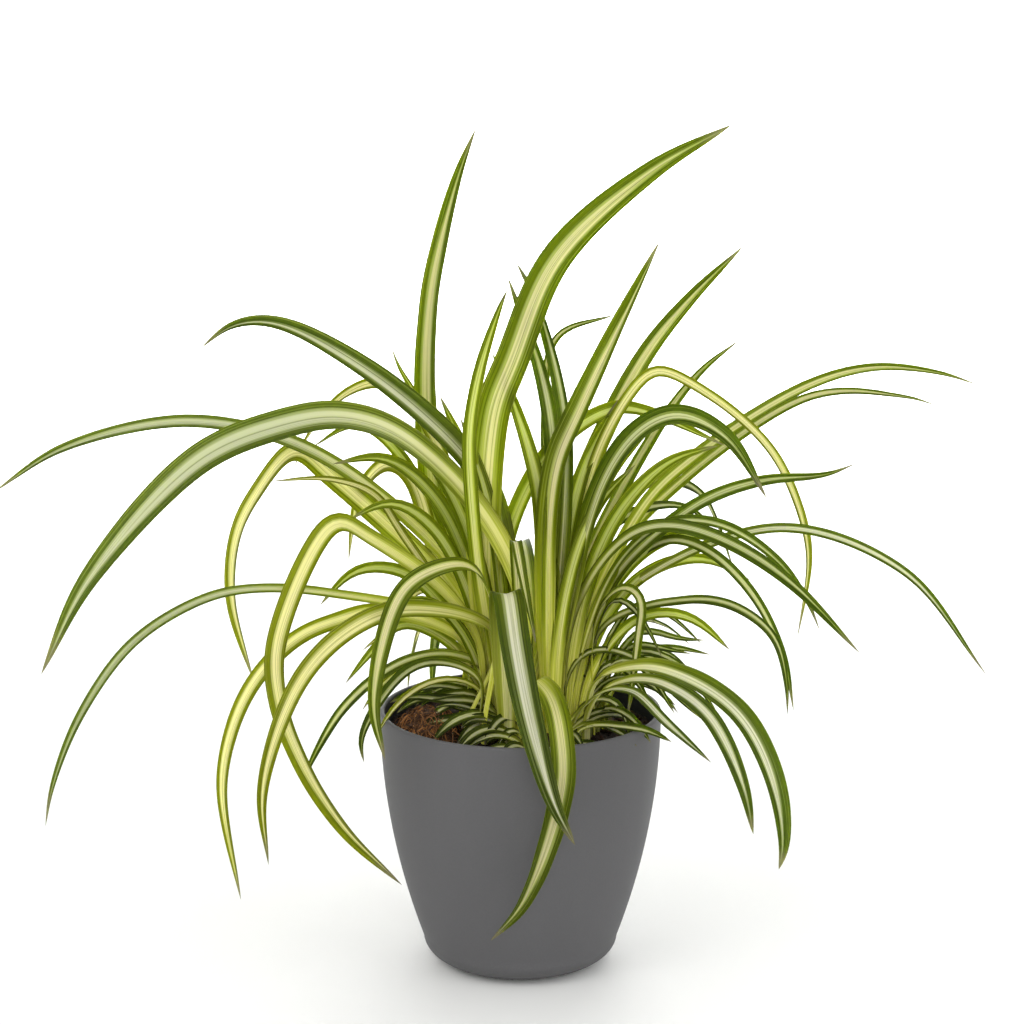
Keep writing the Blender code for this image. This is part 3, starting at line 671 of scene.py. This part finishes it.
def leafBlade(rng, root, heading, width, taper, lean, points, start, buried=0, fine=True):
    # a thin two-sided blade: rows from root to point, columns across, upper skin then lower skin
    turn = math.radians(heading)
    out = np.array((math.cos(turn), math.sin(turn), 0))
    side = np.array((-math.sin(turn), math.cos(turn), 0))
    toward = 1 if side[1] > 0 else -1
    origin = np.array((root[0] * mm, root[1] * mm, start))
    spine = [origin - up * buried * mm] if buried else []
    spine.append(origin)
    for p in points:
        sway = p[2] if len(p) > 2 else 0
        spine.append(origin + (out * p[0] + side * sway + up * p[1]) * mm)
    rough = curveThrough(spine, 60)
    length = np.linalg.norm(np.diff(rough, axis=0), axis=1).sum()
    rows = int(min(max(length / (leaf["step"] if fine else leaf["stepSmall"]), 16), 120))
    line = curveThrough(spine, rows)
    s = np.linspace(0, 1, rows)
    # even out small kinks, keeping both ends
    for _ in range(3):
        line[1:-1] = 0.25 * line[:-2] + 0.5 * line[1:-1] + 0.25 * line[2:]
    along = np.gradient(line, axis=0)
    along /= np.linalg.norm(along, axis=1)[:, None]
    across = side - along * (along @ side)[:, None]
    across /= np.linalg.norm(across, axis=1)[:, None]
    over = np.cross(along, across)
    phase, wave = rng.uniform(0, 6.28), rng.uniform(1.5, 3.0)
    roll = np.interp(s, np.linspace(0, 1, len(lean)), lean)
    roll = toward * np.radians(roll) + np.radians(5) * np.sin(phase + wave * 2 * np.pi * s) * s
    wide = across * np.cos(roll)[:, None] + over * np.sin(roll)[:, None]
    face = over * np.cos(roll)[:, None] - across * np.sin(roll)[:, None]
    half = width * mm / 2 * shareAcross(s, taper)
    half[-1] = leaf["tipHalf"]
    fold = np.radians(np.interp(s, leaf["foldAt"], leaf["fold"]))
    columns = leaf["across"] if fine else leaf["acrossSmall"]
    share = np.linspace(-1, 1, columns)
    crease = leaf["crease"]
    bend = (np.sqrt(share ** 2 + crease) - math.sqrt(crease)) / (math.sqrt(1 + crease) - math.sqrt(crease))
    verts, faces, uv, a, l = [], [], [], [], []
    for sign in (1, -1):
        for i in range(rows):
            thick = leaf["thick"] * (1 - 0.5 * s[i]) * (1 - 0.75 * np.abs(share) ** 2)
            lift = half[i] * np.sin(fold[i]) * bend + sign * thick / 2
            ripple = leaf["ripple"] * math.sin(phase + 2 * np.pi * wave * 3 * s[i]) * np.abs(share) ** 2
            lift = lift + ripple * math.sin(math.pi * s[i])
            flat = np.outer(half[i] * np.cos(fold[i]) * share, wide[i])
            verts.extend(line[i] + flat + np.outer(lift, face[i]))
            a.extend(share)
            l.extend([s[i]] * columns)
    count = rows * columns
    for i in range(rows - 1):
        for j in range(columns - 1):
            p, q = i * columns + j, (i + 1) * columns + j
            faces.append((p, q, q + 1, p + 1))
            faces.append((count + p, count + p + 1, count + q + 1, count + q))
            u0, u1 = 0.01 + 0.48 * j / (columns - 1), 0.01 + 0.48 * (j + 1) / (columns - 1)
            v0, v1 = 0.01 + 0.98 * i / (rows - 1), 0.01 + 0.98 * (i + 1) / (rows - 1)
            uv += [(u0, v0), (u0, v1), (u1, v1), (u1, v0)]
            uv += [(0.5 + u0, v0), (0.5 + u1, v0), (0.5 + u1, v1), (0.5 + u0, v1)]
    # close both long edges
    for i in range(rows - 1):
        for j in (0, columns - 1):
            p, q = i * columns + j, (i + 1) * columns + j
            ring = (p, count + p, count + q, q)
            faces.append(ring if j == 0 else ring[::-1])
            v0, v1 = 0.01 + 0.98 * i / (rows - 1), 0.01 + 0.98 * (i + 1) / (rows - 1)
            u0 = 0.002 if j == 0 else 0.992
            square = [(u0, v0), (u0 + 0.005, v0), (u0 + 0.005, v1), (u0, v1)]
            uv += square if j == 0 else square[::-1]
    return np.array(verts), faces, uv, a, l


def makeLeaves(skins):
    for number, (name, plan) in enumerate(leafPlan.items()):
        root, heading, width, taper, lean, skin, points = plan
        rng = random.Random(number * 17 + 3)
        verts, faces, uv, a, l = leafBlade(rng, root, heading, width, taper, lean, points,
                                           leaf["start"], leaf["buried"])
        values = {"across": a, "along": l, "tone": [rng.random()] * len(verts)}
        addPiece("blade_" + name, verts, faces, skins[skin], ["leaf_" + name], uv, values)


leafMaterials = {name: leafSkin(name, look) for name, look in leafSkins.items()}
makeLeaves(leafMaterials)
print("leaves done")

# Small leaves round the crowns: for each set its skin, then for each leaf its root (x, y, z),
# heading, width, leans and points (reach, height), in mm and degrees. These were chosen.
lowPlan = {
    "left": ("small", (
        ((-14, -8, 142), 183, 6, (10, 30, 40), ((6, 12), (15, 19), (37, 23), (60, 13))),
        ((-12, -14, 142), 178, 5.5, (20, 40), ((14, 8), (28, 12), (38, 21))),
        ((-4, -24, 141), 200, 7, (10, 40, 60), ((14, 12), (29, 13), (40, 8), (48, 0))),
        ((-2, -28, 141), 192, 6.5, (10, 40, 60), ((18, 11), (27, 11), (32, 6))),
        ((0, -38, 139), 188, 6, (30, 60), ((9, 5), (16, 5), (20, 0))),
        ((0, -50, 138), 195, 5.5, (30, 50), ((8, 3), (16, 3), (21, 0))),
        ((-12, -4, 142), 190, 5, (20, 50), ((8, 14), (22, 20), (36, 18), (46, 10))),
        ((-10, -10, 141), 196, 5.5, (20, 50), ((10, 10), (24, 16), (38, 12), (47, 2))),
        ((-6, -16, 141), 186, 5, (20, 50), ((10, 8), (22, 13), (34, 16), (42, 14))),
        ((-8, -20, 140), 214, 5.5, (20, 50), ((8, 7), (18, 9), (28, 5), (33, -1))),
        ((-10, -2, 142), 172, 5.5, (30, 50), ((8, 12), (20, 20), (36, 20), (52, 12))),
        ((-6, -22, 140), 176, 5, (20, 50), ((8, 6), (20, 8), (32, 10), (40, 6))),
        ((2, -30, 139), 228, 5.5, (20, 40), ((6, 6), (14, 7), (22, 1))),
        ((-14, 4, 142), 165, 5, (30, 50), ((6, 12), (20, 18), (38, 12), (48, 3))),
        ((-8, -18, 141), 178, 6.5, (10, 40, 60), ((8, 12), (20, 18), (36, 17), (50, 20), (64, 16))),
        ((-4, -24, 140), 184, 6.5, (10, 40, 60), ((10, 9), (22, 13), (34, 9), (46, 10), (54, 4))),
        ((-2, -34, 139), 205, 6.5, (20, 50), ((8, 8), (20, 10), (30, 6), (37, -1))),
        ((2, -42, 138), 186, 6, (20, 50), ((8, 6), (18, 8), (28, 4), (34, -1))),
        ((-10, -12, 141), 186, 6, (20, 50), ((8, 14), (22, 22), (36, 18), (50, 18), (60, 10))),
        ((4, -48, 137), 220, 6, (20, 50), ((6, 5), (13, 6), (19, 1))),
        ((-6, -28, 140), 160, 6, (20, 50), ((8, 8), (18, 11), (30, 8), (38, 3))),
        ((0, -20, 141), 232, 6, (20, 50), ((6, 8), (16, 12), (26, 8), (33, 0))),
    )),
    "leftArch": ("gold", (
        ((-18, -6, 142), 184, 5, (20, 60),
            ((2, 20), (12, 36), (28, 40), (43, 39), (56, 34), (65, 29), (72, 19))),
        ((-20, -6, 142), 177, 5, (20, 60),
            ((3, 20), (14, 34), (29, 37), (43, 32), (54, 26), (64, 15), (70, 6))),
        ((-22, 2, 142), 168, 4.5, (30, 60), ((2, 20), (16, 42), (34, 52), (52, 50), (70, 36))),
        ((-14, 8, 142), 150, 4.5, (30, 60), ((4, 30), (22, 62), (44, 70), (66, 52), (76, 30))),
        ((-16, -14, 142), 190, 4.5, (20, 60), ((2, 16), (16, 28), (36, 28), (56, 14), (66, -2))),
    )),
    "right": ("small", (
        ((28, -38, 140), 347, 6, (10, 30, 50), ((5, 8), (12, 11), (29, 11), (43, 10), (57, 4))),
        ((28, -44, 138), 0, 5, (30, 50), ((6, 3), (16, 2))),
        ((24, -24, 142), 355, 5.5, (10, 30, 60), ((6, 8), (15, 19), (27, 20), (33, 14), (36, 6), (37, -3))),
        ((28, -26, 142), 2, 5.5, (20, 40), ((8, 8), (16, 12), (34, 12))),
        ((34, -20, 142), 8, 4, (20, 50), ((4, 12), (16, 24), (34, 26), (44, 24))),
        ((27, -12, 142), 350, 5, (20, 60),
            ((-1, 26), (8, 42), (19, 46), (34, 43), (46, 36), (56, 25), (75, 8))),
        ((26, -32, 140), 336, 5.5, (10, 40), ((6, 8), (18, 11), (32, 8), (42, 1))),
        ((24, -34, 139), 300, 5, (20, 40), ((5, 6), (13, 7), (22, 1))),
        ((36, -14, 142), 345, 4.5, (20, 50), ((3, 16), (16, 30), (38, 28), (54, 12))),
        ((40, -10, 142), 4, 4.5, (20, 50), ((4, 14), (16, 24), (34, 22), (48, 10))),
        ((32, -30, 140), 20, 5, (20, 50), ((5, 8), (16, 12), (30, 9), (38, 2))),
        ((38, -18, 141), 325, 5, (20, 50), ((4, 10), (14, 16), (30, 12), (42, 0))),
        ((40, 4, 142), 20, 4.5, (20, 50), ((2, 18), (14, 32), (34, 34), (52, 24))),
        ((12, -34, 139), 262, 5.5, (20, 40), ((4, 6), (12, 8), (20, 3))),
    )),
    "leftInner": ("inner", (
        ((-14, 4, 142), 175, 10, (60, 60), ((4, 40), (14, 85), (34, 128), (62, 150), (92, 146))),
        ((-16, -4, 142), 182, 9, (60, 60), ((4, 36), (14, 76), (32, 112), (56, 128), (80, 118))),
        ((-12, -10, 142), 178, 10, (60, 60), ((3, 40), (10, 84), (24, 128), (46, 160), (70, 168))),
        ((-20, 2, 142), 170, 8, (60, 60), ((6, 30), (22, 62), (46, 84), (74, 84), (96, 62))),
        ((-10, 8, 142), 160, 9, (60, 60), ((2, 50), (8, 100), (20, 146), (38, 184))),
        ((-6, -8, 142), 172, 9, (60, 60), ((2, 44), (6, 90), (14, 136), (28, 176))),
        ((-18, -10, 142), 190, 8, (50, 60), ((4, 28), (16, 56), (34, 74), (54, 74))),
        ((-8, 12, 142), 140, 8, (60, 60), ((2, 50), (10, 96), (26, 136), (52, 160))),
    )),
    "rightInner": ("inner", (
        ((20, -4, 142), 30, 10, (60, 60), ((2, 50), (6, 100), (18, 146), (40, 182))),
        ((16, -8, 142), 60, 9, (60, 60), ((-2, 46), (-2, 96), (4, 142), (18, 180))),
        ((26, -10, 142), 10, 10, (60, 60), ((3, 40), (12, 82), (30, 122), (58, 150), (86, 158))),
        ((30, -8, 142), 355, 9, (60, 60), ((4, 34), (16, 70), (38, 100), (66, 112), (94, 102))),
        ((12, 0, 142), 150, 9, (60, 60), ((-4, 44), (-4, 92), (2, 134), (12, 168))),
        ((24, 4, 142), 20, 9, (60, 60), ((2, 50), (10, 98), (28, 140), (56, 168))),
        ((32, -2, 142), 10, 8, (60, 60), ((4, 30), (18, 62), (42, 86), (72, 92), (100, 78))),
        ((34, -12, 142), 350, 7, (50, 60), ((4, 24), (16, 48), (36, 66), (62, 66), (84, 48))),
        ((20, -16, 142), 8, 9, (60, 60), ((1, 44), (8, 88), (22, 126), (44, 150))),
    )),
}

# Looser sets: how many, where they start (centre and half size), headings, reach, height at the top
# of the arch, how far the tip drops below it, width, skin.
lowLeaves = {
    "rightArch": {"count": 12, "centre": (40, -4), "spread": (10, 12), "heading": (-45, 50),
                  "reach": (40, 90), "height": (34, 84), "drop": (6, 40), "width": (4.0, 5.5),
                  "skin": "small", "seed": 25},
    "back": {"count": 16, "centre": (8, 16), "spread": (26, 8), "heading": (45, 140), "reach": (30, 70),
             "height": (20, 62), "drop": (8, 40), "width": (4.5, 7.0), "skin": "paintedSheen", "seed": 26},
}


def joinBlades(title, blades, material):
    # several small blades as one piece, each with its own strip of the texture
    verts, faces, uv, a, l, tones = [], [], [], [], [], []
    for number, (v, f, t, aa, ll, tone) in enumerate(blades):
        faces += [tuple(k + len(verts) for k in ring) for ring in f]
        uv += [((number + 0.05 + 0.9 * p[0]) / len(blades), p[1]) for p in t]
        verts.extend(v)
        a += aa
        l += ll
        tones += [tone] * len(v)
    values = {"across": a, "along": l, "tone": tones}
    addPiece(title, verts, faces, material, (), uv, values)


def makeLowPlan(name, skins):
    skin, rows = lowPlan[name]
    rng = random.Random(len(name))
    blades = []
    for (x, y, z), heading, width, lean, points in rows:
        made = leafBlade(rng, (x, y), heading, width, 0.5, lean, points, z * mm, 4, fine=False)
        blades.append((*made, rng.random()))
    joinBlades("lowLeaves_" + name, blades, skins[skin])


def makeLowLeaves(name, look, skins):
    rng = random.Random(look["seed"])
    blades = []
    for _ in range(look["count"]):
        turn, reachOut = rng.uniform(0, 6.28), math.sqrt(rng.random())
        root = (look["centre"][0] + look["spread"][0] * reachOut * math.cos(turn),
                look["centre"][1] + look["spread"][1] * reachOut * math.sin(turn))
        reach, height, drop = [rng.uniform(*look[key]) for key in ("reach", "height", "drop")]
        bow = rng.uniform(-0.16, 0.16) * reach
        points = [(0.12 * reach, 0.52 * height, 0), (0.42 * reach, 0.96 * height, 0.3 * bow),
                  (0.72 * reach, 0.9 * height - 0.1 * drop, 0.6 * bow), (reach, height - drop, bow)]
        lean = (rng.uniform(20, 50), rng.uniform(40, 65))
        made = leafBlade(rng, root, rng.uniform(*look["heading"]), rng.uniform(*look["width"]), 0.5, lean,
                         points, 142 * mm, 5, fine=False)
        blades.append((*made, rng.random()))
    joinBlades("lowLeaves_" + name, blades, skins[look["skin"]])


for name in lowPlan:
    makeLowPlan(name, leafMaterials)
for name, look in lowLeaves.items():
    makeLowLeaves(name, look, leafMaterials)
print("low leaves done")

crown = {
    "left": {"centre": (-17, -2), "half": (15, 26), "sheaths": 26, "seed": 31},
    "right": {"centre": (27, -1), "half": (22, 21), "sheaths": 30, "seed": 32},
    "bottom": 136 * mm, "height": (7, 14), "width": (5, 9), "pale": (0.22, 0.25, 0.05),
    "green": (0.12, 0.15, 0.02), "brown": (0.07, 0.045, 0.02), "dry": (0.15, 0.09, 0.045),
}


def crownSkin():
    made, tree, shader = freshMaterial("leafBases")
    along = attribute(tree, "along")
    tone = attribute(tree, "tone")
    place = objectPlace(tree)
    stretched = addNode(tree, "ShaderNodeMapping", {"Vector": place, "Scale": (500, 500, 40)}).outputs[0]
    line = grain(tree, stretched, 1, 3, 0.6)
    share = times(tree, ease(tree, line, 0.35, 0.7), 0.6)
    colour = blendColour(tree, share, crown["pale"], crown["green"])
    low = times(tree, ease(tree, along, 0.45, 0.0), 0.75)
    colour = blendColour(tree, low, colour, crown["brown"])
    dry = times(tree, ease(tree, tone, 0.7, 0.8), 0.7)
    colour = blendColour(tree, dry, colour, crown["dry"])
    tree.links.new(colour, shader.inputs["Base Color"])
    setFinish(shader, rough=0.5)
    bump(tree, shader, line, 0.0002, 0.6)
    return made


def makeCrown(name, skin):
    look = crown[name]
    rng = random.Random(look["seed"])
    verts, faces, along, tones = [], [], [], []
    for _ in range(look["sheaths"]):
        turn, reach = rng.uniform(0, 6.28), math.sqrt(rng.uniform(0.05, 1))
        x = (look["centre"][0] + look["half"][0] * reach * math.cos(turn)) * mm
        y = (look["centre"][1] + look["half"][1] * reach * math.sin(turn)) * mm
        outward = np.array((math.cos(turn), math.sin(turn), 0))
        around = np.array((-math.sin(turn), math.cos(turn), 0))
        height, width = rng.uniform(*crown["height"]) * mm, rng.uniform(*crown["width"]) * mm
        tilt, tone = rng.uniform(0.05, 0.35), rng.random()
        first, rows, columns = len(verts), 9, 7
        for skinSide in (0, 1):
            for i in range(rows):
                s = i / (rows - 1)
                half = width / 2 * (1 - s ** 2.2) + 0.1 * mm
                for j in range(columns):
                    c = 2 * j / (columns - 1) - 1
                    curl = 0.5 * width * (1 - c * c) - skinSide * 0.7 * mm * (1 - 0.8 * c * c)
                    p = np.array((x, y, crown["bottom"] + s * height)) + around * half * c
                    verts.append(p + outward * (curl * 0.55 + tilt * s * height))
                    along.append(s)
                    tones.append(tone)
        count = rows * columns
        for i in range(rows - 1):
            for j in range(columns - 1):
                p, q = first + i * columns + j, first + (i + 1) * columns + j
                faces.append((p, p + 1, q + 1, q))
                faces.append((count + p, count + q, count + q + 1, count + p + 1))
    values = {"along": along, "tone": tones}
    addPiece("crownSheaths_" + name, verts, faces, skin, ["crown_" + name], None, values)


crownMaterial = crownSkin()
makeCrown("left", crownMaterial)
makeCrown("right", crownMaterial)
print("crowns done")

stage = {
    "floor": (0.895, 0.90, 0.885), "back": 2.6, "front": -3.4, "half": 4.5, "rise": 3.2, "curve": 1.2,
    "worldLight": 0.78, "cameraPlace": (-0.0048, -1.713, 0.645), "cameraTilt": 77.43, "lens": 110,
}


def makeStage():
    made, tree, shader = freshMaterial("paleSweep")
    place = objectPlace(tree)
    soft = grain(tree, place, 3, 2, 0.5)
    tone = tuple(0.985 * c for c in stage["floor"])
    tree.links.new(blendColour(tree, soft, tone, stage["floor"]), shader.inputs["Base Color"])
    setFinish(shader, rough=0.6, shine=0.2)
    rows = [(stage["front"], 0.0), (-1, 0.0), (0, 0.0), (1, 0.0), (stage["back"], 0.0)]
    for angle in np.radians(np.linspace(0, 90, 17)[1:]):
        y = stage["back"] + stage["curve"] * math.sin(angle)
        rows.append((y, stage["curve"] * (1 - math.cos(angle))))
    rows.append((stage["back"] + stage["curve"], stage["rise"]))
    verts = [(x, y, z) for y, z in rows for x in (-stage["half"], stage["half"])]
    faces = [(2 * i, 2 * i + 1, 2 * i + 3, 2 * i + 2) for i in range(len(rows) - 1)]
    mesh = bpy.data.meshes.new("sweep")
    mesh.from_pydata(verts, [], faces)
    mesh.polygons.foreach_set("use_smooth", [True] * len(faces))
    mesh.materials.append(made)
    floor = bpy.data.objects.new("sweep", mesh)
    bpy.context.scene.collection.objects.link(floor)


# where each lamp hangs, what it looks at, its size, power, spread in degrees and colour
lamps = {
    "key": {"place": (-1.3, -1.5, 1.9), "target": (0, 0, 0.25), "size": 1.3, "power": 15.5, "spread": 180,
            "colour": (1.0, 0.99, 0.97)},
    "fill": {"place": (1.7, -1.1, 1.3), "target": (0, 0, 0.2), "size": 1.4, "power": 9, "spread": 180,
             "colour": (0.98, 0.99, 1.0)},
    "back": {"place": (0.5, 1.7, 1.7), "target": (0, 0, 0.3), "size": 1.3, "power": 10, "spread": 180,
             "colour": (1.0, 1.0, 0.98)},
    "front": {"place": (0.15, -2.3, 0.9), "target": (0, 0, 0.2), "size": 0.8, "power": 12, "spread": 180,
              "colour": (1.0, 0.995, 0.98)},
    "wash": {"place": (0, 2.6, 2.6), "target": (0, 2.9, 0), "size": 2.6, "power": 120, "spread": 75,
             "colour": (1.0, 1.0, 1.0)},
}


def makeLight():
    world = bpy.data.worlds.new("whiteRoom")
    bpy.context.scene.world = world
    world.use_nodes = True
    background = world.node_tree.nodes["Background"]
    background.inputs["Color"].default_value = (1, 1, 1, 1)
    background.inputs["Strength"].default_value = stage["worldLight"]
    for name, look in lamps.items():
        data = bpy.data.lights.new(name, "AREA")
        data.energy, data.size, data.color = look["power"], look["size"], look["colour"]
        data.spread = math.radians(look["spread"])
        lamp = bpy.data.objects.new(name, data)
        lamp.location = look["place"]
        aim = Vector(look["target"]) - Vector(look["place"])
        lamp.rotation_euler = aim.to_track_quat("-Z", "Y").to_euler()
        bpy.context.scene.collection.objects.link(lamp)


def makeCamera():
    data = bpy.data.cameras.new("camera")
    data.lens, data.sensor_width = stage["lens"], 36
    camera = bpy.data.objects.new("camera", data)
    camera.location = stage["cameraPlace"]
    camera.rotation_euler = (math.radians(stage["cameraTilt"]), 0, 0)
    bpy.context.scene.collection.objects.link(camera)
    bpy.context.scene.camera = camera


makeStage()
makeLight()
makeCamera()
bpy.context.scene.view_settings.view_transform = "Standard"
print("stage, light and camera done")
